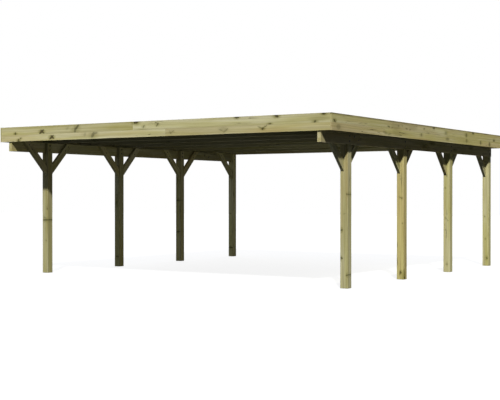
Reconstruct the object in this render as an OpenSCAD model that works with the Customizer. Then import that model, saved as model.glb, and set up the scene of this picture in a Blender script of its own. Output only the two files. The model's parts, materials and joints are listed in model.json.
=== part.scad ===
// Open timber carport with a flat roof on two rows of posts.
// The origin is on the ground below the middle of the roof, the front faces -Y, and Z is up.

/* [Roof] */
// Width over the fascia boards
roof_w = 6000; // [4800:10:7200]
// Depth over the fascia boards, front to rear
roof_d = 6515; // [5200:5:7800]
// Clear height below the two long beams
clear_h = 1985; // [1650:5:2400]

/* [Posts] */
// Side of the square posts
post_w = 115; // [95:1:140]
// Back of the front fascia to the first posts
front_setback = 764; // [630:1:920]
// Last posts to the back of the rear fascia
rear_setback = 21; // [10:1:200]
// Posts to the back of the side fascia
side_setback = 148; // [100:1:200]

/* [Beams] */
// Thickness of the beams, which is also the depth of the notch in each post
beam_t = 56; // [46:1:68]
// Height of the beams
beam_h = 160; // [130:1:195]
// Length of the shorter of the two pieces that make a beam
short_beam_l = 1150; // [950:5:1400]
// Length of the lap that joins the two pieces
beam_lap_l = 250; // [200:5:300]

/* [Braces] */
// Width of the brace boards
brace_w = 104; // [86:1:125]
// Thickness of the brace boards
brace_t = 48; // [38:1:55]
// Reach of a front brace's lower edge along the underside of the beam
front_brace_reach = 372; // [310:1:446]
// Reach of a rear brace's lower edge along the underside of the beam
rear_brace_reach = 357; // [297:1:428]
// Slope of the braces in degrees
brace_angle = 45; // [40:1:50]

/* [Rafters] */
// Thickness of the rafters
rafter_t = 45; // [35:1:60]
// Height of the rafters
rafter_h = 140; // [115:1:168]

/* [Fascia] */
// Thickness of the fascia boards
fascia_t = 20; // [16:1:26]
// Height of the lower boards
lower_board_h = 105; // [85:1:126]
// Height of the upper boards
upper_board_h = 124; // [100:1:148]
// Open seam between two boards
board_gap = 1; // [0.5:0.5:4]
// Depth of the fascia's lower edge below the top of the beams
fascia_drop = 10; // [5:1:20]
// Place of the joint in the front's lower course, as a share of its length
front_lower_joint_share = 0.55; // [0.2:0.01:0.8]
// Place of the joint in the front's upper course
front_upper_joint_share = 0.45; // [0.2:0.01:0.8]
// Place of the joint in a side's lower course
side_lower_joint_share = 0.25; // [0.2:0.01:0.8]
// Place of the joint in a side's upper course
side_upper_joint_share = 0.605; // [0.2:0.005:0.8]

/* [Roof sheets] */
// Thickness of the profiled sheets
sheet_t = 1.5; // [1:0.1:3]
// Height of the ribs
rib_h = 35; // [28:1:42]
// Half the width of a rib's flat top, as a share of the rib spacing
crown_share = 0.12; // [0.08:0.01:0.2]
// Half the width of a rib's foot, as a share of the rib spacing
foot_share = 0.26; // [0.22:0.01:0.4]
// Gap between the sheets and the fascia
sheet_gap = 6; // [3:1:12]

/* [Hidden] */
rows = ["left", "right"];
ends = ["front", "rear"];
courses = ["lower", "upper"];
lengths = ["short", "long"];
layers = ["under", "over"];
posts_per_row = 4;
rafters = 8;
sheets = 6;
ribs_per_sheet = 7;
pine = "#b5ae80";
shaded_pine = "#8f8a63";
coated_grey = "#4a4d50";
overrun = 5;

beam_top = clear_h + beam_h;
rafter_top = beam_top + rafter_h;
fascia_z = beam_top - fascia_drop;
half_w = roof_w / 2;
half_d = roof_d / 2;
inner_w = half_w - fascia_t;
inner_d = half_d - fascia_t;
beam_out = inner_w - side_setback;
beam_in = beam_out - beam_t;
beam_mid = beam_out - beam_t / 2;
splice_y = short_beam_l - inner_d;
lap_y = splice_y - beam_lap_l;
post_x = beam_out - post_w / 2;
first_post_y = front_setback - inner_d + post_w / 2;
last_post_y = inner_d - rear_setback - post_w / 2;
post_pitch = (last_post_y - first_post_y) / (posts_per_row - 1);
tongue_t = post_w - beam_t;
brace_x = beam_in - brace_t / 2;
brace_cut = brace_w / cos(brace_angle);
rafter_pitch = (2 * inner_d - rafter_t) / (rafters - 1);
rib_pitch = 2 * inner_w / (sheets * ribs_per_sheet + 1);
crown = crown_share * rib_pitch;
foot = foot_share * rib_pitch;

function side(row) = row == "left" ? -1 : 1;
function way(end) = end == "front" ? -1 : 1;
function turn(name) = name == "left" || name == "rear" ? 180 : 0;
function post_y(i) = first_post_y + (i - 1) * post_pitch;
function has_brace(i, end) = !(i == posts_per_row && end == "rear");
function course_z(course) = course == "lower" ? fascia_z : fascia_z + lower_board_h + board_gap;
function course_h(course) = course == "lower" ? lower_board_h : upper_board_h;
function rib_x(k) = (k + 1 / 2) * rib_pitch - inner_w;

// One rib of a sheet, from foot to foot
function rib_line(k, z) = [
    [rib_x(k) - foot, z],
    [rib_x(k) - crown, z + rib_h],
    [rib_x(k) + crown, z + rib_h],
    [rib_x(k) + foot, z]
];

// The profile of a sheet, which shares its first and last rib with its neighbours
function sheet_line(s, z) = [
    [rib_x(s * ribs_per_sheet) - rib_pitch / 2 + sheet_gap, z],
    for (k = [0:ribs_per_sheet]) each rib_line(s * ribs_per_sheet + k, z),
    [rib_x((s + 1) * ribs_per_sheet) + rib_pitch / 2 - sheet_gap, z]
];

function backwards(points) = [for (k = [len(points) - 1:-1:0]) points[k]];

// A squared timber between two opposite corners
module timber(low, high) {
    translate(low) cube(high - low);
}

// A post, with its head notched on the outer side to carry the beam
module post(row, i) {
    color(pine)
    translate([side(row) * post_x, post_y(i), 0])
    difference() {
        timber([-post_w / 2, -post_w / 2, 0], [post_w / 2, post_w / 2, beam_top]);
        translate([side(row) * (tongue_t + overrun) / 2, 0, beam_top])
            cube([beam_t + overrun, post_w + 2 * overrun, 2 * beam_h], center = true);
    }
}

// The short piece of a beam: its inner half stops a lap before its outer half
module short_beam(row) {
    color(pine)
    rotate(turn(row))
    translate([0, 0, clear_h])
    linear_extrude(beam_h)
    polygon([
        [beam_in, -inner_d],
        [beam_out, -inner_d],
        [beam_out, splice_y],
        [beam_mid, splice_y],
        [beam_mid, lap_y],
        [beam_in, lap_y]
    ]);
}

// The long piece of a beam, lapped beside the inner half of the short piece
module long_beam(row) {
    color(pine)
    rotate(turn(row))
    translate([0, 0, clear_h])
    linear_extrude(beam_h)
    polygon([
        [beam_in, lap_y],
        [beam_mid, lap_y],
        [beam_mid, splice_y],
        [beam_out, splice_y],
        [beam_out, inner_d],
        [beam_in, inner_d]
    ]);
}

// A brace from the face of a post up along the inner face of the beam
module brace(row, i, end) {
    reach = end == "front" ? front_brace_reach : rear_brace_reach;
    foot_z = clear_h - reach * tan(brace_angle);
    far = (beam_top - foot_z) / tan(brace_angle);
    near = far - brace_cut / tan(brace_angle);
    color(shaded_pine)
    translate([side(row) * brace_x, post_y(i) + way(end) * post_w / 2, 0])
    rotate([90, 0, 90])
    linear_extrude(brace_t, center = true)
    polygon([
        [0, foot_z],
        [way(end) * far, beam_top],
        [way(end) * near, beam_top],
        [0, foot_z + brace_cut]
    ]);
}

// A rafter across both beams, between the side fascias
module rafter(i) {
    y = (i - 1) * rafter_pitch - inner_d;
    color(shaded_pine)
    timber([-inner_w, y, beam_top], [inner_w, y + rafter_t, rafter_top]);
}

// One course of the front or rear fascia, in two boards between the side fascias
module end_fascia(end, course) {
    share = course == "lower" ? front_lower_joint_share : front_upper_joint_share;
    joint_x = (2 * share - 1) * inner_w;
    low = course_z(course);
    high = low + course_h(course);
    color(pine)
    rotate(turn(end)) {
        timber([-inner_w, -half_d, low], [joint_x - board_gap / 2, -inner_d, high]);
        timber([joint_x + board_gap / 2, -half_d, low], [inner_w, -inner_d, high]);
    }
}

// One course of a side fascia, in two boards that cover the ends of the front and rear boards
module side_fascia(row, course) {
    share = course == "lower" ? side_lower_joint_share : side_upper_joint_share;
    joint_y = (2 * share - 1) * half_d;
    low = course_z(course);
    high = low + course_h(course);
    color(pine)
    rotate(turn(row)) {
        timber([inner_w, -half_d, low], [half_w, joint_y - board_gap / 2, high]);
        timber([inner_w, joint_y + board_gap / 2, low], [half_w, half_d, high]);
    }
}

// Every other profiled sheet: the over sheets lap one rib of the under sheets on each side
module roof_sheets(layer) {
    first = layer == "under" ? 0 : 1;
    z = rafter_top + first * sheet_t;
    color(coated_grey)
    for (s = [first:2:sheets - 1])
        translate([0, inner_d - sheet_gap, 0])
        rotate([90, 0, 0])
        linear_extrude(2 * (inner_d - sheet_gap))
        polygon(concat(sheet_line(s, z), backwards(sheet_line(s, z + sheet_t))));
}

for (row = rows, i = [1:posts_per_row])
    post(row, i);
for (row = rows) {
    short_beam(row);
    long_beam(row);
}
for (row = rows, i = [1:posts_per_row], end = ends)
    if (has_brace(i, end))
        brace(row, i, end);
for (i = [1:rafters])
    rafter(i);
for (end = ends, course = courses)
    end_fascia(end, course);
for (row = rows, course = courses)
    side_fascia(row, course);
for (layer = layers)
    roof_sheets(layer);
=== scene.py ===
"""Looks of the open timber carport: a frame of treated pine under a coated steel roof."""
import json
import math
import random

import bmesh
import bpy
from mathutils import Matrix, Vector

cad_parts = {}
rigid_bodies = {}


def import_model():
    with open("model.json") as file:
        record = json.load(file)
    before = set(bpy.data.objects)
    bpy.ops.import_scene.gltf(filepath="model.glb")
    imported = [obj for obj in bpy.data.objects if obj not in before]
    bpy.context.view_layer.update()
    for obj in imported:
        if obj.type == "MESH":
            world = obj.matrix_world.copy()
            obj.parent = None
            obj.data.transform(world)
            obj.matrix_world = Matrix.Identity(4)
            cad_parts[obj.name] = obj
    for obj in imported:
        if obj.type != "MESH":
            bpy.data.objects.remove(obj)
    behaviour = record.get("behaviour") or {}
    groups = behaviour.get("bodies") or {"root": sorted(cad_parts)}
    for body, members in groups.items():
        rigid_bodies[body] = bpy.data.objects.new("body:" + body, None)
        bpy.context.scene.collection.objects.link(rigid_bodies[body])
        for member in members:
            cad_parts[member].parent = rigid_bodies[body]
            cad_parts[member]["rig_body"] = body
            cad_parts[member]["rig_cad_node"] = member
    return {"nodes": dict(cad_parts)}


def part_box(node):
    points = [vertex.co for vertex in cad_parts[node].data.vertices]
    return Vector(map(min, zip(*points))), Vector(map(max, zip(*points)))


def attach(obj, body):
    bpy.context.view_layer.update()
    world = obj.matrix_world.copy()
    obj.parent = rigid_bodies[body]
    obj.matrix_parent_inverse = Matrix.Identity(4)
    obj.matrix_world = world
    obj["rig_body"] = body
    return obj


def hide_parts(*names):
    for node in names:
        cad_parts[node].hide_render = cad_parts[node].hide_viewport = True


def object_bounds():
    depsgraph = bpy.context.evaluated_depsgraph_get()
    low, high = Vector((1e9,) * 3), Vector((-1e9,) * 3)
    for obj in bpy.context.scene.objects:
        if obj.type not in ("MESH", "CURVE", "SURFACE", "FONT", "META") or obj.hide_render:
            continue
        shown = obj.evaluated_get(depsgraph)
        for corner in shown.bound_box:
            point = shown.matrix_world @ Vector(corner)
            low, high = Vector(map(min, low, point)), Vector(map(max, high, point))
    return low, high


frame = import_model()
cad_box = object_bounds()
low, high = (Vector(corner) for corner in cad_box)

BODY = "root"
MM = 0.001
MERGE = 0.01 * MM
FLAT = math.radians(1)
SOFT_EDGE = math.radians(40)
ROUND_PROFILE = 0.5
SEED = 11
X_WAY = Vector((1, 0, 0))
Y_WAY = Vector((0, 1, 0))
Z_WAY = Vector((0, 0, 1))
# Cosines: how closely a timber follows X, an end grain face its timber, and a disc's top its axis
MOSTLY_ALONG = 0.9
END_FACING = 0.7
TOP_FACING = 0.95

names = sorted(frame["nodes"])
posts = [name for name in names if "_post_" in name]
beams = [name for name in names if "_beam_" in name]
braces = [name for name in names if "_brace_" in name]
rafters = [name for name in names if name.startswith("rafter_")]
fascias = [name for name in names if "_fascia_" in name]
sheets = [name for name in names if name.startswith("roof_sheets_")]

# Camera, at the photograph's place and lens
EYE_RIGHT_OF_ROOF = 6.540
EYE_BEFORE_ROOF = 12.274
EYE_HEIGHT = 1.290
EYE_HEADING = math.radians(32.43)
EYE_PITCH = math.radians(0.278)
LENS_MM = 76.66
FILM_MM = 36.0

# Light
SUN_FROM = Vector((0.62, -1.0, 0.97))
SUN_STRENGTH = 3.82
SUN_SPREAD = math.radians(2.5)
REAR_FROM = Vector((-0.6, 1.0, 0.8))
REAR_STRENGTH = 1.7
REAR_SPREAD = math.radians(40)
SKY_COLOUR = (0.85, 0.96, 1.18, 1.0)
LOW_GLOW = 0.015
FRONT_GLOW_FROM = Vector((-0.6, -1.0, 0.60))
FRONT_GLOW = 0.36
FRONT_GLOW_EDGE = (0.75, 1.0)
OVERHEAD_GLOW = 0.90
OVERHEAD_GLOW_EDGE = (0.65, 0.95)
FILL_COLOUR = (1.0, 0.97, 0.78)
FILL_POWER = 22.0
FILL_HEIGHT = 0.9
FILL_INSET = 0.45
FLOOR_SIZE = 90.0
FLOOR_BOUNCE = (0.035, 0.038, 0.040, 1.0)
FLOOR_GLOW = 0.88
FLOOR_SHADE = (0.15, 0.15, 0.15, 1.0)
WHITE = (1.0, 1.0, 1.0, 1.0)
SEEN_SKY = 1.0

# Colours of the timber
CREAM = (0.610, 0.575, 0.350, 1.0)
OLIVE = (0.475, 0.440, 0.162, 1.0)
HEARTWOOD = (0.490, 0.380, 0.165, 1.0)
LINE_SHADE = (0.60, 0.56, 0.46, 1.0)
HALO_SHADE = (0.44, 0.44, 0.24, 1.0)
KNOT_RIM = (0.024, 0.026, 0.010, 1.0)
KNOT_CORE = (0.082, 0.065, 0.027, 1.0)
CRACK_SHADE = (0.14, 0.12, 0.09, 1.0)
TOP_BAND_COLOUR = (0.32, 0.30, 0.24, 1.0)

# Colours of the roof sheets and the fixings
SHEET_DARK = (0.055, 0.060, 0.066, 1.0)
SHEET_LIGHT = (0.085, 0.090, 0.096, 1.0)
SHEET_DUST = (0.20, 0.19, 0.15, 1.0)
FIXING_DARK = (0.055, 0.047, 0.033, 1.0)
FIXING_LIGHT = (0.115, 0.102, 0.072, 1.0)
BARE_STEEL = (0.26, 0.25, 0.23, 1.0)

# Patterns of the timber: repeats per metre along, across and through the log
KNOT_CELLS = (2.9, 8.5, 8.5)
KNOT_RAGS = (60.0, 90.0, 90.0)
LOG_SWAYS = (0.8, 2.5, 2.5)
GOOD_YEARS = (0.10, 26.0, 26.0)
CLEAR_LINES = (0.5, 19.0, 19.0)
STREAKS = (0.7, 44.0, 44.0)
FIBRES = (9.0, 420.0, 420.0)
CRACK_SEAMS = (0.7, 24.0, 24.0)
CRACK_AREAS = (1.3, 9.0, 9.0)
OLIVE_PATCHES = (0.8, 14.0, 14.0)
HEART_PATCHES = (0.5, 6.0, 6.0)

# Where each pattern begins and where it is full: values of noise, radii of a knot or shares of a ring
KNOT_EDGE = (1.15, 0.66)
HALO_EDGE = (1.0, 0.1)
STREWN_KNOT_EDGE = (1.5, 0.9)
STREWN_HALO_EDGE = (2.4, 0.3)
KNOT_CORE_EDGE = (0.6, 1.0)
LATE_WOOD_RISE = (0.35, 0.85)
LATE_WOOD_FALL = (1.0, 0.9)
CLEAR_EDGE = (0.35, 0.65)
STREAK_EDGE = (0.32, 0.68)
CRACK_EDGE = (0.010, 0.002)
CRACK_AREA_EDGE = (0.56, 0.66)
OLIVE_EDGE = (0.36, 0.64)
HEART_EDGE = (0.50, 0.70)
NOISE_MIDDLE = 0.5

# Sizes in the timber: strewn knots and their form, how the log sways, tapers and bends round a knot,
# and by how many rings its good and poor years shift the lines
STREWN_RADII = (9 * MM, 21 * MM)
STREWN_SPREAD = 0.8
STREWN_FORM = (0.8, 1.0, 1.0)
STREWN_HALO_FORM = (0.2, 0.9, 0.9)
KNOT_RAG = 0.7
LOG_SWAY = 50 * MM
LOG_TAPER = 0.006
KNOT_BEND = 12 * MM
YEAR_SWING = 4.0

# How strongly each pattern colours, smooths and raises the timber
FAINTEST_LINE = 0.2
LATE_WOOD_LINE = 0.4
STREAK_LINE = 0.55
OLIVE_COVER = (0.15, 0.8)
OLIVE_TONE = 0.6
HEART_COVER = 0.4
FIBRE_LIGHT = (0.88, 1.12)
LIGHT_TONE = 0.16
END_SHADE = 0.2
SAWN_ROUGHNESS = 0.84
LATE_WOOD_SHEEN = 0.14
KNOT_SHEEN = 0.2
LATE_WOOD_HEIGHT = 0.35
FIBRE_HEIGHT = 0.5
KNOT_HEIGHT = 0.5
CRACK_DEPTH = 1.6


# Node helpers

def put(tree, kind, feeds=None, **settings):
    """Adds a node, sets it up, and feeds its sockets with values or with outputs of other nodes."""
    made = tree.nodes.new("ShaderNode" + kind)
    for name, value in settings.items():
        setattr(made, name, value)
    for socket, value in (feeds or {}).items():
        if isinstance(value, bpy.types.NodeSocket):
            tree.links.new(value, made.inputs[socket])
        else:
            made.inputs[socket].default_value = value
    return made


def calc(tree, operation, *values):
    """Works out a number from others."""
    return put(tree, "Math", dict(enumerate(values)), operation=operation).outputs[0]


def vector_calc(tree, operation, *values):
    """Works out a vector from others."""
    return put(tree, "VectorMath", dict(enumerate(values)), operation=operation).outputs["Vector"]


def length(tree, vector):
    """The length of a vector."""
    return put(tree, "VectorMath", {0: vector}, operation="LENGTH").outputs["Value"]


def within(tree, value):
    """A value kept between 0 and 1."""
    return put(tree, "Clamp", {0: value}).outputs[0]


def ease(tree, value, start, end):
    """Rises smoothly from 0 to 1 as the value goes from start to end."""
    feeds = {"Value": value, "From Min": start, "From Max": end}
    return put(tree, "MapRange", feeds, interpolation_type="SMOOTHSTEP").outputs[0]


def scale_to(tree, value, start, end):
    """Spreads a value of 0 to 1 over start to end."""
    return put(tree, "MapRange", {"Value": value, "To Min": start, "To Max": end}).outputs[0]


def tint(tree, factor, first, second, blend="MIX"):
    """Mixes two colours."""
    made = put(tree, "Mix", {0: factor, 6: first, 7: second}, data_type="RGBA", blend_type=blend)
    return made.outputs[2]


def grey(tree, light):
    """A grey of that lightness."""
    return put(tree, "CombineColor", dict.fromkeys(range(3), light)).outputs[0]


def noise(tree, vector, repeats, detail=3.0, roughness=0.55):
    """A cloudy value, with its repeats per metre along each axis of the vector."""
    feeds = {
        "Vector": vector_calc(tree, "MULTIPLY", vector, repeats),
        "Scale": 1.0,
        "Detail": detail,
        "Roughness": roughness,
    }
    return put(tree, "TexNoise", feeds).outputs["Fac"]


def new_group(name, takes, gives):
    """An empty node group with its named inputs and outputs."""
    tree = bpy.data.node_groups.new(name, "ShaderNodeTree")
    for socket, kind in takes.items():
        tree.interface.new_socket(socket, in_out="INPUT", socket_type="NodeSocket" + kind)
    for socket, kind in gives.items():
        tree.interface.new_socket(socket, in_out="OUTPUT", socket_type="NodeSocket" + kind)
    return tree, tree.nodes.new("NodeGroupInput").outputs, tree.nodes.new("NodeGroupOutput").inputs


def use(tree, group, feeds):
    """Places a node group and feeds it."""
    return put(tree, "Group", feeds, node_tree=group).outputs


def attribute(tree, name, output):
    """What the mesh holds under that name."""
    return put(tree, "Attribute", attribute_name=name, attribute_type="GEOMETRY").outputs[output]


# Node groups of the timber

def placed_knot_group():
    """One knot at a chosen place, from spots measured in its radii and in the reach of its grain."""
    tree, takes, gives = new_group(
        "placed knot",
        {"Spot": "Vector", "Flow": "Vector", "Strength": "Float"},
        {"Knot": "Float", "Halo": "Float"},
    )
    knot = ease(tree, length(tree, takes["Spot"]), *KNOT_EDGE)
    tree.links.new(calc(tree, "MULTIPLY", knot, takes["Strength"]), gives["Knot"])
    halo = ease(tree, length(tree, takes["Flow"]), *HALO_EDGE)
    tree.links.new(calc(tree, "MULTIPLY", halo, takes["Strength"]), gives["Halo"])
    return tree


def scattered_knots_group():
    """Knots strewn along a timber, on the board's own coordinates."""
    tree, takes, gives = new_group(
        "scattered knots",
        {"Grain": "Vector", "Share": "Float"},
        {"Knot": "Float", "Halo": "Float"},
    )
    spread = vector_calc(tree, "MULTIPLY", takes["Grain"], KNOT_CELLS)
    cell = put(tree, "TexVoronoi", {"Vector": spread, "Scale": 1.0, "Randomness": STREWN_SPREAD})
    away = vector_calc(tree, "SUBTRACT", spread, cell.outputs["Position"])
    away = vector_calc(tree, "DIVIDE", away, KNOT_CELLS)
    chance = put(tree, "SeparateColor", {0: cell.outputs["Color"]}).outputs
    radius = scale_to(tree, chance[0], *STREWN_RADII)
    there = calc(tree, "LESS_THAN", chance[1], takes["Share"])
    form = vector_calc(tree, "MULTIPLY", away, STREWN_FORM)
    size = calc(tree, "DIVIDE", length(tree, form), radius)
    rag = noise(tree, takes["Grain"], KNOT_RAGS, detail=2.0)
    core = ease(tree, calc(tree, "MULTIPLY_ADD", rag, KNOT_RAG, size), *STREWN_KNOT_EDGE)
    tree.links.new(calc(tree, "MULTIPLY", core, there), gives["Knot"])
    halo_form = vector_calc(tree, "MULTIPLY", away, STREWN_HALO_FORM)
    drawn = calc(tree, "DIVIDE", length(tree, halo_form), radius)
    halo = ease(tree, drawn, *STREWN_HALO_EDGE)
    tree.links.new(calc(tree, "MULTIPLY", halo, there), gives["Halo"])
    return tree


def sawn_grain_group():
    """Growth rings, streaks and drying cracks of sawn pine, on the board's own coordinates."""
    tree, takes, gives = new_group(
        "sawn grain",
        {"Grain": "Vector", "Halo": "Float", "Ring": "Float"},
        {"Late Wood": "Float", "Streak": "Float", "Fibre": "Float", "Crack": "Float"},
    )
    grain = takes["Grain"]
    parts = put(tree, "SeparateXYZ", {0: grain}).outputs
    sway = noise(tree, grain, LOG_SWAYS, detail=2.0)
    sway = calc(tree, "MULTIPLY_ADD", sway, LOG_SWAY, -LOG_SWAY / 2)
    across = calc(tree, "ADD", parts[1], sway)
    slant = calc(tree, "MULTIPLY_ADD", parts[0], LOG_TAPER, parts[2])
    radius = length(tree, put(tree, "CombineXYZ", {1: across, 2: slant}).outputs[0])
    bent = calc(tree, "MULTIPLY_ADD", takes["Halo"], KNOT_BEND, radius)
    years = calc(tree, "MULTIPLY", noise(tree, grain, GOOD_YEARS, detail=2.0), YEAR_SWING)
    count = calc(tree, "ADD", calc(tree, "DIVIDE", bent, takes["Ring"]), years)
    phase = calc(tree, "FRACT", count)
    rise = ease(tree, phase, *LATE_WOOD_RISE)
    fall = ease(tree, phase, *LATE_WOOD_FALL)
    clear = ease(tree, noise(tree, grain, CLEAR_LINES, detail=2.0), *CLEAR_EDGE)
    clear = scale_to(tree, clear, FAINTEST_LINE, 1.0)
    line = calc(tree, "MULTIPLY", rise, fall)
    tree.links.new(calc(tree, "MULTIPLY", line, clear), gives["Late Wood"])
    tree.links.new(noise(tree, grain, STREAKS, detail=4.0, roughness=0.65), gives["Streak"])
    tree.links.new(noise(tree, grain, FIBRES, detail=2.0), gives["Fibre"])
    seam = noise(tree, grain, CRACK_SEAMS, detail=2.0)
    thin = calc(tree, "ABSOLUTE", calc(tree, "SUBTRACT", seam, NOISE_MIDDLE))
    some = ease(tree, noise(tree, grain, CRACK_AREAS, detail=1.0), *CRACK_AREA_EDGE)
    tree.links.new(calc(tree, "MULTIPLY", ease(tree, thin, *CRACK_EDGE), some), gives["Crack"])
    return tree


def treated_pine_group():
    """Colour, roughness and relief of pressure treated pine from its grain and its board's tone, whose
    lightness also holds painted light and shade.
    """
    tree, takes, gives = new_group(
        "treated pine",
        {
            "Grain": "Vector",
            "Late Wood": "Float",
            "Streak": "Float",
            "Fibre": "Float",
            "Crack": "Float",
            "Knot": "Float",
            "Halo": "Float",
            "End": "Float",
            "Top Band": "Float",
            "Tone": "Vector",
        },
        {"Color": "Color", "Roughness": "Float", "Height": "Float"},
    )
    grain = takes["Grain"]
    tone = put(tree, "SeparateXYZ", {0: takes["Tone"]}).outputs
    patch = ease(tree, noise(tree, grain, OLIVE_PATCHES), *OLIVE_EDGE)
    patch = scale_to(tree, patch, *OLIVE_COVER)
    heart = ease(tree, noise(tree, grain, HEART_PATCHES, detail=2.0), *HEART_EDGE)
    olive = within(tree, calc(tree, "MULTIPLY_ADD", tone[1], OLIVE_TONE, patch))
    brown = within(tree, calc(tree, "MULTIPLY_ADD", heart, HEART_COVER, tone[2]))
    colour = tint(tree, olive, CREAM, OLIVE)
    colour = tint(tree, brown, colour, HEARTWOOD)
    streak = calc(tree, "MULTIPLY", ease(tree, takes["Streak"], *STREAK_EDGE), STREAK_LINE)
    lines = calc(tree, "MULTIPLY_ADD", takes["Late Wood"], LATE_WOOD_LINE, streak)
    colour = tint(tree, lines, colour, LINE_SHADE, "MULTIPLY")
    fibre = scale_to(tree, takes["Fibre"], *FIBRE_LIGHT)
    # Lightness from the board's tone, which includes the painted light and shade listed for some
    # timbers, and from the fibres
    light = calc(tree, "MULTIPLY", calc(tree, "MULTIPLY_ADD", tone[0], LIGHT_TONE, 1.0), fibre)
    colour = tint(tree, 1.0, colour, grey(tree, light), "MULTIPLY")
    colour = tint(tree, takes["Halo"], colour, HALO_SHADE, "MULTIPLY")
    knot = tint(tree, ease(tree, takes["Knot"], *KNOT_CORE_EDGE), KNOT_RIM, KNOT_CORE)
    colour = tint(tree, takes["Knot"], colour, knot)
    colour = tint(tree, takes["Crack"], colour, CRACK_SHADE, "MULTIPLY")
    end_light = calc(tree, "MULTIPLY_ADD", takes["End"], -END_SHADE, 1.0)
    colour = tint(tree, 1.0, colour, grey(tree, end_light), "MULTIPLY")
    # Darker band along the top edge of the upper fascia courses
    colour = tint(tree, takes["Top Band"], colour, TOP_BAND_COLOUR, "MULTIPLY")
    tree.links.new(colour, gives["Color"])
    rough = calc(tree, "MULTIPLY_ADD", takes["Late Wood"], -LATE_WOOD_SHEEN, SAWN_ROUGHNESS)
    rough = calc(tree, "MULTIPLY_ADD", takes["Knot"], -KNOT_SHEEN, rough)
    tree.links.new(rough, gives["Roughness"])
    height = calc(tree, "MULTIPLY", takes["Fibre"], FIBRE_HEIGHT)
    height = calc(tree, "MULTIPLY_ADD", takes["Late Wood"], LATE_WOOD_HEIGHT, height)
    height = calc(tree, "MULTIPLY_ADD", takes["Crack"], -CRACK_DEPTH, height)
    height = calc(tree, "MULTIPLY_ADD", takes["Knot"], KNOT_HEIGHT, height)
    tree.links.new(height, gives["Height"])
    return tree


placed_knot = placed_knot_group()
scattered_knots = scattered_knots_group()
sawn_grain = sawn_grain_group()
treated_pine = treated_pine_group()


# Knots that show on the fascia and the posts: shares of the piece's length or width and of its height,
# radius in mm, slant in degrees, how far the knot is drawn out along its slant, and how dark it is

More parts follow.
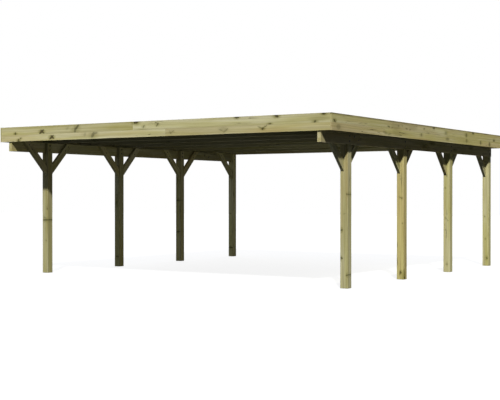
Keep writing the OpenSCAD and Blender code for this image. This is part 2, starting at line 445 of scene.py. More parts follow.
KNOT_SHARES = {
    "front_fascia_upper": [
        (0.052, 0.15, 12, 85, 2.4, 0.9),
        (0.146, 0.27, 17, 34, 3.6, 1.0),
        (0.149, 0.27, 16, -36, 3.4, 0.95),
        (0.236, 0.55, 20, 50, 1.8, 0.16),
        (0.268, 0.62, 20, 42, 3.2, 0.62),
        (0.262, 0.28, 26, 80, 1.9, 0.45),
        (0.460, 0.90, 21, 5, 2.2, 1.0),
        (0.484, 0.35, 12, 60, 3.0, 0.45),
        (0.526, 0.50, 12, 50, 3.2, 0.55),
        (0.756, 0.93, 14, 0, 2.8, 0.9),
        (0.845, 0.04, 12, 10, 2.0, 0.8),
        (0.863, 0.88, 17, -25, 2.0, 1.0),
        (0.962, 0.08, 15, 60, 1.6, 0.75),
        (0.972, 0.42, 28, 0, 7.0, 0.12),
        (0.984, 0.90, 14, 0, 2.2, 0.9),
    ],
    "front_fascia_lower": [
        (0.063, 0.18, 13, 70, 2.0, 0.9),
        (0.071, 0.46, 10, 40, 2.2, 0.6),
        (0.181, 0.45, 17, 34, 3.5, 1.0),
        (0.184, 0.47, 15, -38, 3.3, 0.95),
        (0.295, 0.66, 22, 70, 1.6, 0.2),
        (0.322, 0.58, 29, 55, 1.9, 0.5),
        (0.331, 0.80, 16, 10, 2.4, 0.4),
        (0.565, 0.46, 9, -60, 4.6, 0.36),
        (0.572, 0.60, 9, 28, 4.0, 0.32),
        (0.712, 0.50, 9, -24, 5.4, 0.33),
        (0.719, 0.66, 30, 0, 2.6, 0.12),
        (0.7215, 0.33, 10, 55, 2.6, 0.32),
        (0.7275, 0.53, 10, 42, 4.2, 0.36),
        (0.8185, 0.69, 7, -16, 6.4, 0.46),
        (0.8265, 0.50, 12, 62, 1.8, 0.92),
        (0.8335, 0.78, 8, 34, 4.8, 0.50),
    ],
    "right_fascia_upper": [
        (0.013, 0.17, 15, -30, 2.4, 0.95),
        (0.268, 0.27, 10, -8, 5.5, 0.50),
        (0.286, 0.19, 8, 14, 5.0, 0.34),
        (0.305, 0.38, 40, 0, 4.5, 0.12),
        (0.320, 0.49, 10, 40, 2.4, 0.40),
        (0.340, 0.55, 9, -30, 2.4, 0.26),
        (0.364, 0.28, 10, -8, 5.5, 0.40),
        (0.383, 0.20, 9, 12, 5.0, 0.34),
        (0.400, 0.45, 38, 0, 4.5, 0.10),
        (0.465, 0.55, 11, 10, 3.4, 0.42),
        (0.523, 0.80, 14, 0, 4.0, 0.7),
        (0.600, 0.37, 22, 90, 1.5, 0.45),
        (0.738, 0.40, 19, 90, 2.0, 0.7),
        (0.787, 0.79, 16, 0, 3.0, 0.7),
        (0.946, 0.12, 20, 0, 2.2, 0.65),
    ],
    "right_fascia_lower": [
        (0.030, 0.51, 34, 0, 1.9, 0.3),
        (0.250, 0.45, 18, -6, 5.0, 0.26),
        (0.272, 0.30, 15, 10, 5.0, 0.24),
        (0.310, 0.70, 36, 0, 4.5, 0.10),
        (0.448, 0.72, 17, 90, 1.6, 0.55),
        (0.610, 0.55, 22, 0, 3.6, 0.35),
        (0.741, 0.60, 17, 90, 2.6, 0.5),
        (0.843, 0.55, 18, 90, 2.6, 0.62),
        (0.911, 0.45, 18, 90, 2.8, 0.8),
    ],
    "left_post_1": [
        (0.55, 0.408, 12, 2, 8.0, 0.62),
        (0.40, 0.428, 14, -10, 2.0, 0.30),
        (0.70, 0.250, 7, 0, 2.5, 0.35),
    ],
    "left_post_2": [
        (0.50, 0.085, 7, 0, 8.0, 0.45),
        (0.40, 0.600, 9, 0, 4.0, 0.35),
    ],
    "left_post_3": [
        (0.50, 0.553, 11, 0, 6.0, 0.70),
        (0.50, 0.267, 10, 3, 6.0, 0.60),
    ],
    "left_post_4": [
        (0.50, 0.086, 10, 0, 6.0, 0.75),
        (0.40, 0.420, 8, 0, 3.0, 0.35),
    ],
    "right_post_1": [
        (0.18, 0.375, 11, 10, 2.2, 0.65),
        (0.16, 0.195, 11, -8, 2.4, 0.70),
        (0.92, 0.606, 8, -20, 3.0, 0.50),
        (0.90, 0.086, 9, 25, 2.6, 0.55),
        (0.55, 0.480, 8, 12, 3.0, 0.22),
    ],
    "right_post_2": [
        (0.45, 0.584, 7, -18, 4.5, 0.45),
        (0.72, 0.578, 8, 20, 2.4, 0.50),
        (0.85, 0.400, 8, 30, 2.2, 0.35),
        (0.58, 0.050, 11, 82, 1.9, 0.90),
    ],
    "right_post_3": [
        (0.30, 0.655, 7, -20, 3.2, 0.35),
        (0.35, 0.420, 7, -32, 4.0, 0.40),
        (0.65, 0.404, 7, -28, 3.2, 0.32),
        (0.55, 0.062, 10, 0, 2.6, 0.40),
    ],
    "right_post_4": [
        (0.35, 0.418, 7, -30, 3.6, 0.42),
        (0.50, 0.228, 9, 0, 2.2, 0.35),
        (0.72, 0.066, 12, 0, 1.5, 0.75),
    ],
}
# These knots go right through their timber, and the grain round them is drawn out to so many radii
KNOT_DEPTH = 1.0
HALO_REACH = 6.0
HALO_WIDTH = 3.0
KNOT_WOBBLE = 14 * MM
WOBBLES_PER_M = 60.0

# Darker band along the top of the upper fascia courses: how dark on each side, how deep, and how broken
TOP_BAND_SHARES = {"front": 0.28, "right": 1.0, "left": 0.4, "rear": 0.3}
TOP_BAND_TOP = 9 * MM
TOP_BAND_FOOT = 27 * MM
TOP_BAND_BREAKS = (3.0, 3.0, 3.0)
TOP_BAND_BREAK_EDGE = (0.35, 0.65)
FAINTEST_TOP_BAND = 0.5

# Roof sheets and fixings: repeats per metre, where each pattern begins and is full, and roughness
SHEET_CLOUDS = (1.1, 0.7, 1.0)
SHEET_CLOUD_EDGE = (0.42, 0.68)
RAIN_STREAKS = (26.0, 0.5, 6.0)
RAIN_STREAK_EDGE = (0.35, 0.75)
SHEET_GRIT = (240.0, 240.0, 240.0)
SHEET_DUST_COVER = 0.6
SHEET_ROUGHNESS = (0.38, 0.72)
FIXING_CLOUDS = (170.0, 170.0, 170.0)
FIXING_CLOUD_EDGE = (0.35, 0.65)
RUBBED_SPOTS = (420.0, 420.0, 420.0)
RUBBED_EDGE = (0.66, 0.72)
FIXING_GRIT = (900.0, 900.0, 900.0)
FIXING_ROUGHNESS = (0.48, 0.66)

# Relief, as strength and depth, and the gloss of timber and fixings
TIMBER_RELIEF = (0.5, 1.0 * MM)
SHEET_RELIEF = (0.25, 0.2 * MM)
FIXING_RELIEF = (0.2, 0.1 * MM)
TIMBER_GLOSS = 0.1
FIXING_GLOSS = 0.2


# Materials

def new_material(name):
    material = bpy.data.materials.new(name)
    material.use_nodes = True
    tree = material.node_tree
    tree.nodes.clear()
    shader = put(tree, "BsdfPrincipled")
    output = put(tree, "OutputMaterial", {"Surface": shader.outputs[0]})
    output.is_active_output = True
    return material, tree, shader


def add_relief(tree, shader, height, relief):
    strength, depth = relief
    bump = put(tree, "Bump", {"Height": height, "Strength": strength, "Distance": depth})
    tree.links.new(bump.outputs[0], shader.inputs["Normal"])


def knots_on(tree, spot, node, knot, halo):
    """Adds the knots that show on a fascia course's outer face or a post's front to the strewn ones."""
    start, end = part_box(node)
    upright = node in posts
    faces_front = upright or node.startswith("front")
    along, across = (0, 1) if faces_front else (1, 0)
    for length_share, height_share, radius, slant, stretch, strength in KNOT_SHARES.get(node, ()):
        place = start.copy()
        place[along] += length_share * (end[along] - start[along])
        place.z += height_share * (end.z - start.z)
        turned = Vector()
        turned[across] = math.radians(-slant if faces_front else slant)
        size = Vector((1, 1, 1)) * radius * MM
        size[across] = KNOT_DEPTH
        flow = size.copy()
        size[along] *= stretch
        if upright:
            flow.z *= HALO_REACH
            flow[along] *= max(stretch, HALO_WIDTH)
        else:
            flow[along] *= HALO_REACH
            flow.z *= HALO_WIDTH
        core = {"Vector": spot, "Location": place, "Rotation": turned, "Scale": size}
        reach = {"Vector": spot, "Location": place, "Scale": flow}
        own = use(tree, placed_knot, {
            "Spot": put(tree, "Mapping", core, vector_type="TEXTURE").outputs[0],
            "Flow": put(tree, "Mapping", reach, vector_type="TEXTURE").outputs[0],
            "Strength": strength,
        })
        knot = calc(tree, "MAXIMUM", knot, own["Knot"])
        halo = calc(tree, "MAXIMUM", halo, own["Halo"])
    return knot, halo


def top_band(tree, spot, node):
    """A darker band along the top edge of an upper fascia course."""
    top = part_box(node)[1].z
    height = put(tree, "SeparateXYZ", {0: spot}).outputs["Z"]
    edge = ease(tree, height, top - TOP_BAND_FOOT, top - TOP_BAND_TOP)
    broken = ease(tree, noise(tree, spot, TOP_BAND_BREAKS), *TOP_BAND_BREAK_EDGE)
    broken = scale_to(tree, broken, FAINTEST_TOP_BAND, 1.0)
    share = TOP_BAND_SHARES[node.split("_")[0]]
    return calc(tree, "MULTIPLY", calc(tree, "MULTIPLY", edge, broken), share)


def pine(name, ring, knot_share, node=None):
    """Treated pine with strewn knots, and with the knots that show on its fascia course or post."""
    material, tree, shader = new_material(name)
    grain = attribute(tree, "grain", "Vector")
    knots = use(tree, scattered_knots, {"Grain": grain, "Share": knot_share})
    knot, halo = knots["Knot"], knots["Halo"]
    darker_top = 0.0
    if node:
        spot = put(tree, "TexCoord").outputs["Object"]
        cloud = put(tree, "TexNoise", {"Vector": spot, "Scale": WOBBLES_PER_M, "Detail": 3.0})
        wobble = vector_calc(tree, "SUBTRACT", cloud.outputs["Color"], (NOISE_MIDDLE,) * 3)
        wobble = vector_calc(tree, "MULTIPLY", wobble, (KNOT_WOBBLE,) * 3)
        wobbly_spot = vector_calc(tree, "ADD", spot, wobble)
        knot, halo = knots_on(tree, wobbly_spot, node, knot, halo)
        if node.endswith("upper"):
            darker_top = top_band(tree, spot, node)
    wood = use(tree, sawn_grain, {"Grain": grain, "Halo": halo, "Ring": ring})
    finish = use(tree, treated_pine, {
        "Grain": grain,
        "Late Wood": wood["Late Wood"],
        "Streak": wood["Streak"],
        "Fibre": wood["Fibre"],
        "Crack": wood["Crack"],
        "Knot": knot,
        "Halo": halo,
        "End": attribute(tree, "end_grain", "Fac"),
        "Top Band": darker_top,
        "Tone": attribute(tree, "tone", "Vector"),
    })
    tree.links.new(finish["Color"], shader.inputs["Base Color"])
    tree.links.new(finish["Roughness"], shader.inputs["Roughness"])
    add_relief(tree, shader, finish["Height"], TIMBER_RELIEF)
    shader.inputs["Specular IOR Level"].default_value = TIMBER_GLOSS
    return material


def coated_steel(name):
    """Dark grey coating with patches of dust that rain has streaked along the ribs."""
    material, tree, shader = new_material(name)
    spot = put(tree, "TexCoord").outputs["Object"]
    cloud = ease(tree, noise(tree, spot, SHEET_CLOUDS, detail=4.0), *SHEET_CLOUD_EDGE)
    streaks = ease(tree, noise(tree, spot, RAIN_STREAKS), *RAIN_STREAK_EDGE)
    grit = noise(tree, spot, SHEET_GRIT, detail=2.0)
    dust = calc(tree, "MULTIPLY", cloud, streaks)
    colour = tint(tree, grit, SHEET_DARK, SHEET_LIGHT)
    colour = tint(tree, calc(tree, "MULTIPLY", dust, SHEET_DUST_COVER), colour, SHEET_DUST)
    tree.links.new(colour, shader.inputs["Base Color"])
    tree.links.new(scale_to(tree, dust, *SHEET_ROUGHNESS), shader.inputs["Roughness"])
    add_relief(tree, shader, grit, SHEET_RELIEF)
    return material


def coated_fixing(name):
    """Brown-black coating on bolts and screws, rubbed through to the steel in small spots."""
    material, tree, shader = new_material(name)
    spot = put(tree, "TexCoord").outputs["Object"]
    cloud = ease(tree, noise(tree, spot, FIXING_CLOUDS), *FIXING_CLOUD_EDGE)
    rubbed = ease(tree, noise(tree, spot, RUBBED_SPOTS), *RUBBED_EDGE)
    grit = noise(tree, spot, FIXING_GRIT, detail=2.0)
    colour = tint(tree, cloud, FIXING_DARK, FIXING_LIGHT)
    colour = tint(tree, rubbed, colour, BARE_STEEL)
    tree.links.new(colour, shader.inputs["Base Color"])
    tree.links.new(rubbed, shader.inputs["Metallic"])
    tree.links.new(scale_to(tree, cloud, *FIXING_ROUGHNESS), shader.inputs["Roughness"])
    add_relief(tree, shader, grit, FIXING_RELIEF)
    shader.inputs["Specular IOR Level"].default_value = FIXING_GLOSS
    return material


# Width of a growth ring, and the share of a timber's knot cells that hold a strewn knot
POST_RING = 5.5 * MM
BEAM_RING = 5 * MM
BRACE_RING = 4.5 * MM
RAFTER_RING = 5 * MM
FASCIA_RING = 4.5 * MM
POST_KNOT_SHARE = 0.15
BEAM_KNOT_SHARE = 0.25
BRACE_KNOT_SHARE = 0.2
RAFTER_KNOT_SHARE = 0.25
FASCIA_KNOT_SHARE = 0.3
PLACED_FASCIA_KNOT_SHARE = 0.05

beam_pine = pine("beam pine", BEAM_RING, BEAM_KNOT_SHARE)
brace_pine = pine("brace pine", BRACE_RING, BRACE_KNOT_SHARE)
rafter_pine = pine("rafter pine", RAFTER_RING, RAFTER_KNOT_SHARE)
steel_coat = coated_steel("coated roof steel")
fixing_coat = coated_fixing("coated fixing steel")
post_pines = {}
for node in posts:
    post_pines[node] = pine(node.replace("_", " ") + " pine", POST_RING, POST_KNOT_SHARE, node)
fascia_pines = {}
for node in fascias:
    knot_share = PLACED_FASCIA_KNOT_SHARE if node in KNOT_SHARES else FASCIA_KNOT_SHARE
    fascia_pines[node] = pine(node.replace("_", " ") + " pine", FASCIA_RING, knot_share, node)


# Tones of the timbers that show best, at the two ends of each board in them:
# lightness, cream to olive, and brown heartwood. The lightness also holds painted light and shade, as
# marked below.

TONE_AND_SHADE_SHARES = {
    "front_fascia_upper": [((0.5, 0.0, 0.0), (-0.6, 0.5, 0.15)), ((0.4, -0.6, 0.0), (-0.1, 0.0, 0.05))],
    "front_fascia_lower": [((0.4, -0.1, 0.0), (0.2, -0.1, 0.05)), ((-0.2, 0.0, 0.3), (-0.2, 0.2, 0.3))],
    # Painted light: the right fascia is made lighter to stand in for its sunlit side
    "right_fascia_upper": [((1.1, 0.0, 0.1), (1.2, 0.1, 0.1)), ((1.25, 0.5, 0.2), (1.25, 0.5, 0.2))],
    "right_fascia_lower": [((1.2, -0.2, 0.6), (1.3, -0.1, 0.4)), ((1.25, 0.4, 0.2), (1.25, 0.4, 0.2))],
    "right_post_1": [((-0.3, -0.2, 0.0), (-0.3, -0.2, 0.05))],
    "right_post_2": [((1.55, 1.0, 0.3), (1.55, 1.0, 0.4))],
    "right_post_3": [((1.0, 0.3, 0.0), (1.0, 0.3, 0.0))],
    "right_post_4": [((1.0, 0.3, 0.0), (1.0, 0.3, 0.0))],
    # Painted light and shade on the left posts under the roof: each post's lightness is set to how lit
    # it stands, and the second and third grow darker towards their heads
    "left_post_1": [((-1.0, 0.2, 0.0), (-1.0, 0.2, 0.0))],
    "left_post_2": [((0.5, 0.0, 0.0), (-1.8, 0.0, 0.0))],
    "left_post_3": [((0.9, 0.3, 0.1), (-1.1, 0.3, 0.1))],
    "left_post_4": [((2.2, 0.0, 0.0), (1.5, 0.0, 0.0))],
    # Painted shade: the left beams are darkened to their shade under the roof
    "left_beam_long": [((-0.6, 0.0, 0.0), (-2.4, 0.0, 0.0))],
    "left_beam_short": [((-2.4, 0.0, 0.0), (-2.4, 0.0, 0.0))],
    # Painted shade: the rafters are darkened to the shade on the underside of the roof
    "rafter_1": [((-2.2, -0.3, -0.3), (-3.4, -0.3, -0.3))],
    "rafter_2": [((-2.3, -0.3, -0.3), (-3.5, -0.3, -0.3))],
    "rafter_3": [((-2.3, -0.3, -0.3), (-3.6, -0.3, -0.3))],
    "rafter_4": [((-2.5, -0.2, -0.3), (-3.4, -0.2, -0.3))],
    "rafter_5": [((-2.0, 0.0, -0.3), (-2.3, 0.0, -0.3))],
    "rafter_6": [((-0.2, 0.2, -0.3), (-1.4, 0.2, -0.3))],
    "rafter_7": [((-1.2, 0.2, -0.3), (-2.2, 0.2, -0.3))],
}
# How much of the end shade a slot's end grain gets: below 0 it is lighter than the sides
END_SHARES = {"beam_timber": -0.4}
FULL_END_SHARE = 1.0


# Timbers, with the eased edge of each kind

POST_ARRIS = 3 * MM
BEAM_ARRIS = 2.5 * MM
BRACE_ARRIS = 2 * MM
RAFTER_ARRIS = 2 * MM
FASCIA_ARRIS = 0.6 * MM
ARRIS_SEGMENTS = 2

# Where in its log a timber lies in metres, and how far its own tone may stray
LOG_STARTS = (0.0, 400.0)
PITH_ASIDE = (-0.09, 0.09)
PITH_BEHIND = (0.03, 0.10)
TONE_SPREADS = ((-0.5, 0.5), (-0.6, 0.6), (-0.4, 0.3))


def select_only(piece):
    bpy.ops.object.select_all(action="DESELECT")
    piece.select_set(True)
    bpy.context.view_layer.objects.active = piece


def copy_of(node):
    """A copy of a CAD node with its triangles merged into whole faces, left in edit mode."""
    select_only(frame["nodes"][node])
    bpy.ops.object.duplicate()
    piece = bpy.context.view_layer.objects.active
    piece.parent = None
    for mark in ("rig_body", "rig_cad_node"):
        del piece[mark]
    piece.name = node + "_timber"
    bpy.ops.mesh.customdata_custom_splitnormals_clear()
    bpy.ops.object.mode_set(mode="EDIT")
    bpy.ops.mesh.select_all(action="SELECT")
    bpy.ops.mesh.remove_doubles(threshold=MERGE)
    bpy.ops.mesh.dissolve_limited(angle_limit=FLAT)
    return piece


def apply_modifier(piece, kind):
    bpy.ops.object.modifier_add(type=kind)
    bpy.ops.object.modifier_apply(modifier=piece.modifiers[-1].name)


def bevel_edges(width, segments):
    """Rounds the selected edges of the piece in edit mode."""
    bpy.ops.mesh.bevel(
        offset=width,
        offset_type="OFFSET",
        segments=segments,
        profile=ROUND_PROFILE,
        affect="EDGES",
    )


def ease_edges(piece, arris):
    """Rounds the outer edges of the piece in edit mode, and leaves edit mode."""
    bpy.ops.mesh.select_all(action="DESELECT")
    skin = bmesh.from_edit_mesh(piece.data)
    bpy.context.tool_settings.mesh_select_mode = (False, True, False)
    for edge in skin.edges:
        edge.select_set(edge.is_convex)
    bmesh.update_edit_mesh(piece.data)
    bevel_edges(arris, ARRIS_SEGMENTS)
    bpy.ops.object.mode_set(mode="OBJECT")
    bpy.ops.object.shade_smooth_by_angle(angle=SOFT_EDGE)
    apply_modifier(piece, "WEIGHTED_NORMAL")


def boards_of(mesh, along):
    """The vertices of each separate board in a mesh, from the first board to the last."""
    board = list(range(len(mesh.vertices)))

    def first(vertex):
        while board[vertex] != vertex:
            board[vertex] = board[board[vertex]]
            vertex = board[vertex]
        return vertex

    for edge in mesh.edges:
        board[first(edge.vertices[0])] = first(edge.vertices[1])
    groups = {}
    for vertex in range(len(mesh.vertices)):
        groups.setdefault(first(vertex), []).append(vertex)

    def start_of(group):
        return min(mesh.vertices[vertex].co.dot(along) for vertex in group)

    return sorted(groups.values(), key=start_of)


def give_grain(piece, along, listed_tones_and_shades, end_share, draw):
    """Gives each board coordinates along and across the log it was sawn from, and its tone, whose
    lightness also holds painted light and shade where one is listed.
    """
    mesh = piece.data
    along = along.normalized()
    across = X_WAY if abs(along.x) < MOSTLY_ALONG else Y_WAY
    through = along.cross(across).normalized()
    grain = [0.0] * 3 * len(mesh.vertices)
    tone = [0.0] * 3 * len(mesh.vertices)
    for number, board in enumerate(boards_of(mesh, along)):
        spots = [mesh.vertices[vertex].co for vertex in board]
        middle = sum(spots, Vector()) / len(spots)
        start = draw.uniform(*LOG_STARTS)
        pith = (draw.uniform(*PITH_ASIDE), draw.choice((-1, 1)) * draw.uniform(*PITH_BEHIND))
        own_tone = [draw.uniform(*spread) for spread in TONE_SPREADS]
        end_tones = listed_tones_and_shades[number] if listed_tones_and_shades else (own_tone, own_tone)
        first_tone, last_tone = (Vector(end_tone) for end_tone in end_tones)
        reach = max((spot - middle).dot(along) for spot in spots)
        for vertex, spot in zip(board, spots):
            away = spot - middle
            share = (away.dot(along) / reach + 1) / 2
            grain[3 * vertex:3 * vertex + 3] = (
                away.dot(along) + start,
                away.dot(across) + pith[0],
                away.dot(through) + pith[1],
            )
            tone[3 * vertex:3 * vertex + 3] = first_tone.lerp(last_tone, share)
    mesh.attributes.new("grain", "FLOAT_VECTOR", "POINT").data.foreach_set("vector", grain)
    mesh.attributes.new("tone", "FLOAT_VECTOR", "POINT").data.foreach_set("vector", tone)
    ends = [end_share if abs(face.normal.dot(along)) > END_FACING else 0.0 for face in mesh.polygons]
    mesh.attributes.new("end_grain", "FLOAT", "FACE").data.foreach_set("value", ends)


def timber(node, along, material, slot, arris, draw):
    """A timber with eased edges in place of its CAD node."""
    piece = copy_of(node)
    ease_edges(piece, arris)
    end_share = END_SHARES.get(slot, FULL_END_SHARE)
    give_grain(piece, along, TONE_AND_SHADE_SHARES.get(node, ()), end_share, draw)
    piece.data.materials.clear()
    piece.data.materials.append(material)
    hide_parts(node)
    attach(piece, BODY)


draw = random.Random(SEED)
for node in posts:
    timber(node, Z_WAY, post_pines[node], "post_timber", POST_ARRIS, draw)
for node in beams:
    timber(node, Y_WAY, beam_pine, "beam_timber", BEAM_ARRIS, draw)
for node in braces:
    start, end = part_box(node)
    lean = -1 if node.endswith("_front") else 1
    along = Vector((0, lean * (end.y - start.y), end.z - start.z))
    timber(node, along, brace_pine, "brace_timber", BRACE_ARRIS, draw)
for node in rafters:
    timber(node, X_WAY, rafter_pine, "rafter_timber", RAFTER_ARRIS, draw)
for node in fascias:
    along = Y_WAY if node.split("_")[0] in ("left", "right") else X_WAY
    timber(node, along, fascia_pines[node], "fascia_board", FASCIA_ARRIS, draw)
for node in sheets:
    frame["nodes"][node].data.materials.clear()
    frame["nodes"][node].data.materials.append(steel_coat)


# Fixings, each a stack of discs on a timber's face, or on a rib of the roof:
# sides, radius, thickness, rim and rim segments of each disc

COACH_HEAD = [(14, 12 * MM, 5 * MM, 4.4 * MM, 3)]
NUT_ON_WASHER = [
    (16, 15 * MM, 2.5 * MM, 0.5 * MM, 1),
    (6, 9.8 * MM, 8 * MM, 1.2 * MM, 1),
    (10, 5 * MM, 5 * MM, 0.8 * MM, 1),
]
WASHER_HEAD = [(14, 10 * MM, 2.2 * MM, 1.4 * MM, 2), (12, 6 * MM, 2 * MM, 0.8 * MM, 1)]
FLAT_HEAD = [(12, 6 * MM, 0.8 * MM, 0.3 * MM, 1)]
ROOF_HEAD = [(10, 8 * MM, 2 * MM, 0.8 * MM, 1), (6, 4.6 * MM, 4.5 * MM, 0.6 * MM, 1)]
SOCKET_MARGIN = 2.6 * MM
SOCKET_DEPTH = 1.5 * MM
BOLT_EDGE = 45 * MM
LAP_BOLT_SHARES = ((0.25, 0.68), (0.75, 0.40))
BRACE_SCREW_SHARES = (0.28, 0.72)
FOOT_SCREW = 70 * MM
SHEETS = 6
RIBS_PER_SHEET = 7
SCREWED_RIBS = (0, 2, 5)
ROW_WAYS = {"left": -X_WAY, "right": X_WAY}


def joined(pieces):
    """The pieces as one, at the origin."""
    bpy.ops.object.select_all(action="DESELECT")
    for piece in pieces:
        piece.select_set(True)
    bpy.context.view_layer.objects.active = pieces[0]
    if len(pieces) > 1:
        bpy.ops.object.join()
    bpy.ops.object.transform_apply(location=True, rotation=True, scale=True)
    return pieces[0]


def copies(model, shifts):
    """The model and a copy of it at each shift, as one piece."""
    made = [model]
    for shift in shifts:
        select_only(model)
        bpy.ops.object.duplicate()
        bpy.ops.transform.translate(value=shift)
        made.append(bpy.context.active_object)
    return joined(made)


def select_facing(piece, way):
    """Selects the faces that look that way, in edit mode."""
    bpy.context.tool_settings.mesh_select_mode = (False, False, True)
    bpy.ops.mesh.select_all(action="DESELECT")
    skin = bmesh.from_edit_mesh(piece.data)
    for face in skin.faces:
        face.select_set(face.normal.dot(way) > TOP_FACING)
    bmesh.update_edit_mesh(piece.data)


def disc(place, way, step):
    """A disc that stands on the place, with its outer rim rounded."""
    sides, radius, thick, rim, segments = step
    bpy.ops.object.select_all(action="DESELECT")
    bpy.ops.mesh.primitive_cylinder_add(
        vertices=sides,
        radius=radius,
        depth=thick,
        location=place + way * thick / 2,
        rotation=way.to_track_quat("Z", "Y").to_euler(),
    )
    piece = bpy.context.active_object
    bpy.ops.object.transform_apply(location=True, rotation=True, scale=True)
    bpy.ops.object.mode_set(mode="EDIT")
    select_facing(piece, way)
    bevel_edges(rim, segments)
    bpy.ops.object.mode_set(mode="OBJECT")
    return piece


def sink_socket(piece, way):
    """Sinks the drive socket into the top of a screw head."""
    select_only(piece)
    bpy.ops.object.mode_set(mode="EDIT")
    select_facing(piece, way)
    bpy.ops.mesh.inset(thickness=SOCKET_MARGIN, depth=0)
    bpy.ops.mesh.extrude_region_move(TRANSFORM_OT_translate={"value": -way * SOCKET_DEPTH})
    bpy.ops.object.mode_set(mode="OBJECT")


def stacked(place, way, steps, socket=False):
    """A bolt head, a nut or a screw head that stands on a timber's face."""
    discs = []
    for step in steps:
        discs.append(disc(place, way, step))
        place = place + way * step[2]
    if socket:
        sink_socket(discs[-1], way)
    return joined(discs)


def as_fixing(piece, name):
    select_only(piece)
    piece.name = name
    bpy.ops.object.shade_smooth_by_angle(angle=SOFT_EDGE)
    piece.data.materials.clear()
    piece.data.materials.append(fixing_coat)
    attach(piece, BODY)


def sides_of(node, way):
    """Where a node's inner and outer faces lie along X, for the row on that side."""
    start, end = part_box(node)
    return (start.x, end.x) if way.x > 0 else (end.x, start.x)


def through_bolts(name, inner, outer, way, places):
    """Coach bolts: round heads on the outer face, and nuts on washers on the inner face."""
    first = places[0]
    head = stacked(first + X_WAY * outer, way, COACH_HEAD)
    nut = stacked(first + X_WAY * inner, -way, NUT_ON_WASHER)
    as_fixing(copies(joined([head, nut]), [place - first for place in places[1:]]), name)


def post_bolts(row, way):
    """Two bolts through each post head and the beam."""
    beam_foot, beam_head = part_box(row + "_beam_long")
    inner, outer = sides_of(row + "_post_1", way)
    places = []
    for node in posts:
        if node.startswith(row):
            start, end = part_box(node)
            for height in (beam_foot.z + BOLT_EDGE, beam_head.z - BOLT_EDGE):
                places.append(Vector((0, (start.y + end.y) / 2, height)))
    through_bolts(row + "_post_bolts", inner, outer, way, places)


def lap_bolts(row, way):
    """Two bolts through the lap that joins the pieces of a beam."""
    short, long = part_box(row + "_beam_short"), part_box(row + "_beam_long")
    inner, outer = sides_of(row + "_beam_long", way)
    lap_start = max(short[0].y, long[0].y)
    lap_end = min(short[1].y, long[1].y)
    places = []
    for along_share, height_share in LAP_BOLT_SHARES:
        along = lap_start + along_share * (lap_end - lap_start)
        places.append(Vector((0, along, long[0].z + height_share * (long[1].z - long[0].z))))
    through_bolts(row + "_lap_bolts", inner, outer, way, places)


def brace_screws(row, way, end, lean):
    """Two screws through each brace into the beam, and one through its lower edge into the post."""
    group = [node for node in braces if node.startswith(row) and node.endswith(end)]
    foot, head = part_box(group[0])
    beam_foot, beam_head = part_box(row + "_beam_long")
    post_face = head.y if lean < 0 else foot.y
    corners = frame["nodes"][group[0]].data.vertices
    at_post = [corner.co.z for corner in corners if abs(corner.co.y - post_face) < MERGE]
    half_cut = (max(at_post) - foot.z) / 2
    inner = sides_of(group[0], way)[0]
    screws = []
    for share in BRACE_SCREW_SHARES:
        height = beam_foot.z + share * (beam_head.z - beam_foot.z)
        along = post_face + lean * (height - foot.z - half_cut)
        screws.append(stacked(Vector((inner, along, height)), -way, WASHER_HEAD, socket=True))
    under = Vector(((foot.x + head.x) / 2, post_face + lean * FOOT_SCREW, foot.z + FOOT_SCREW))
    screws.append(stacked(under, Vector((0, lean, -1)).normalized(), FLAT_HEAD, socket=True))
    shifts = [Y_WAY * (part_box(node)[0].y - foot.y) for node in group[1:]]
    as_fixing(copies(joined(screws), shifts), row + "_brace_screws_" + end)


def roof_screws():
    """Screws with washers above every rafter, on the crowns of some ribs: the laps, and two between."""
    start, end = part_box(rafters[0])
    rib_pitch = (end.x - start.x) / (SHEETS * RIBS_PER_SHEET + 1)
    rafter_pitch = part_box(rafters[1])[0].y - start.y
    under_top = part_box("roof_sheets_under")[1].z
    over_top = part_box("roof_sheets_over")[1].z
    places = []
    for rib in range(SHEETS * RIBS_PER_SHEET + 1):
        sheet, step = divmod(rib, RIBS_PER_SHEET)
        if step in SCREWED_RIBS:
            lapped = rib > 0 and step == 0
            top = over_top if lapped or sheet % 2 else under_top
            places.append(Vector((start.x + (rib + 0.5) * rib_pitch, (start.y + end.y) / 2, top)))
    model = stacked(places[0], Z_WAY, ROOF_HEAD)
    select_only(model)
    bpy.ops.object.modifier_add(type="ARRAY")
    row = model.modifiers[-1]
    row.count = len(rafters)
    row.use_relative_offset = False
    row.use_constant_offset = True
    row.constant_offset_displace = (0, rafter_pitch, 0)
    bpy.ops.object.modifier_apply(modifier=row.name)
    as_fixing(copies(model, [place - places[0] for place in places[1:]]), "roof_screws")


for row, way in ROW_WAYS.items():
    post_bolts(row, way)
    lap_bolts(row, way)
    brace_screws(row, way, "front", -1)
    brace_screws(row, way, "rear", 1)
roof_screws()


# Floor, light and camera

def any_of(tree, *values):
    """The largest of the values."""
    total = values[0]
    for value in values[1:]:
        total = calc(tree, "MAXIMUM", total, value)
    return total


def seen_directly(tree):
    """1 where the camera sees a surface, straight or in a reflection."""
    path = put(tree, "LightPath").outputs
    return any_of(tree, path["Is Camera Ray"], path["Is Glossy Ray"], path["Is Transmission Ray"])


def make_floor():
    bpy.ops.object.select_all(action="DESELECT")
    bpy.ops.mesh.primitive_plane_add(size=FLOOR_SIZE, location=(0, 0, low.z))
    floor = bpy.context.active_object
    floor.name = "floor"
    material = bpy.data.materials.new("pale floor")
    material.use_nodes = True
    tree = material.node_tree
    tree.nodes.clear()
    bounce = put(tree, "BsdfDiffuse", {"Color": FLOOR_BOUNCE}).outputs[0]
    shade = put(tree, "BsdfDiffuse", {"Color": FLOOR_SHADE}).outputs[0]
    glow = put(tree, "Emission", {"Color": WHITE, "Strength": FLOOR_GLOW}).outputs[0]
    pale = put(tree, "AddShader", {0: shade, 1: glow}).outputs[0]
    surface = put(tree, "MixShader", {0: seen_directly(tree), 1: bounce, 2: pale}).outputs[0]
    put(tree, "OutputMaterial", {"Surface": surface})
    floor.data.materials.append(material)


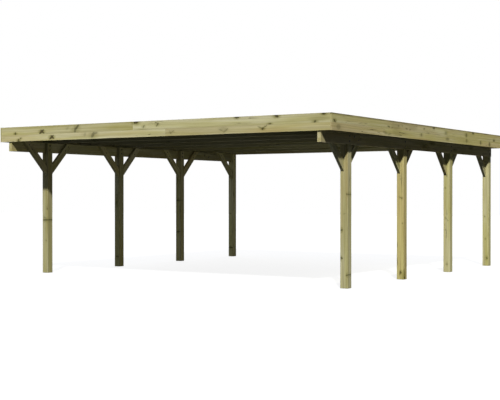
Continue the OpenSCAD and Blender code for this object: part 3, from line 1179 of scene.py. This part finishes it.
def make_world():
    """A soft sky: bright overhead and at the front left, dim elsewhere, and white where it is seen."""
    world = bpy.data.worlds.new("studio")
    bpy.context.scene.world = world
    world.use_nodes = True
    tree = world.node_tree
    tree.nodes.clear()
    way = put(tree, "TexCoord").outputs["Generated"]
    front = put(tree, "VectorMath", {0: way, 1: FRONT_GLOW_FROM.normalized()}, operation="DOT_PRODUCT")
    front_glow = ease(tree, front.outputs["Value"], *FRONT_GLOW_EDGE)
    front_glow = calc(tree, "MULTIPLY", front_glow, FRONT_GLOW)
    height = put(tree, "SeparateXYZ", {0: way}).outputs["Z"]
    overhead_glow = calc(tree, "MULTIPLY", ease(tree, height, *OVERHEAD_GLOW_EDGE), OVERHEAD_GLOW)
    strength = calc(tree, "ADD", calc(tree, "ADD", front_glow, overhead_glow), LOW_GLOW)
    fill = put(tree, "Background", {"Color": SKY_COLOUR, "Strength": strength}).outputs[0]
    white = put(tree, "Background", {"Color": WHITE, "Strength": SEEN_SKY}).outputs[0]
    surface = put(tree, "MixShader", {0: seen_directly(tree), 1: fill, 2: white}).outputs[0]
    put(tree, "OutputWorld", {"Surface": surface})


def make_lamp(name, source, strength, spread):
    bpy.ops.object.light_add(type="SUN", rotation=source.to_track_quat("Z", "Y").to_euler())
    lamp = bpy.context.active_object
    lamp.name = name
    lamp.data.energy = strength
    lamp.data.angle = spread


def make_fill():
    """A low warm panel inside the right row, which lights the inner side of the left row."""
    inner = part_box("right_post_1")[0].x - FILL_INSET
    place = (inner, 0, low.z + FILL_HEIGHT / 2)
    bpy.ops.object.light_add(type="AREA", location=place, rotation=(0, math.pi / 2, 0))
    lamp = bpy.context.active_object
    lamp.name = "fill light"
    lamp.visible_camera = False
    lamp.visible_glossy = False
    lamp.data.shape = "RECTANGLE"
    lamp.data.size = FILL_HEIGHT
    lamp.data.size_y = high.y - low.y
    lamp.data.color = FILL_COLOUR
    lamp.data.energy = FILL_POWER


def make_camera():
    eye = (high.x + EYE_RIGHT_OF_ROOF, low.y - EYE_BEFORE_ROOF, low.z + EYE_HEIGHT)
    aim = (math.pi / 2 - EYE_PITCH, 0, EYE_HEADING)
    bpy.ops.object.camera_add(location=eye, rotation=aim)
    camera = bpy.context.active_object
    camera.data.sensor_fit = "HORIZONTAL"
    camera.data.sensor_width = FILM_MM
    camera.data.lens = LENS_MM
    bpy.context.scene.camera = camera


make_floor()
make_world()
make_lamp("key light", SUN_FROM, SUN_STRENGTH, SUN_SPREAD)
make_lamp("rear light", REAR_FROM, REAR_STRENGTH, REAR_SPREAD)
make_fill()
make_camera()
bpy.context.scene.view_settings.view_transform = "Standard"
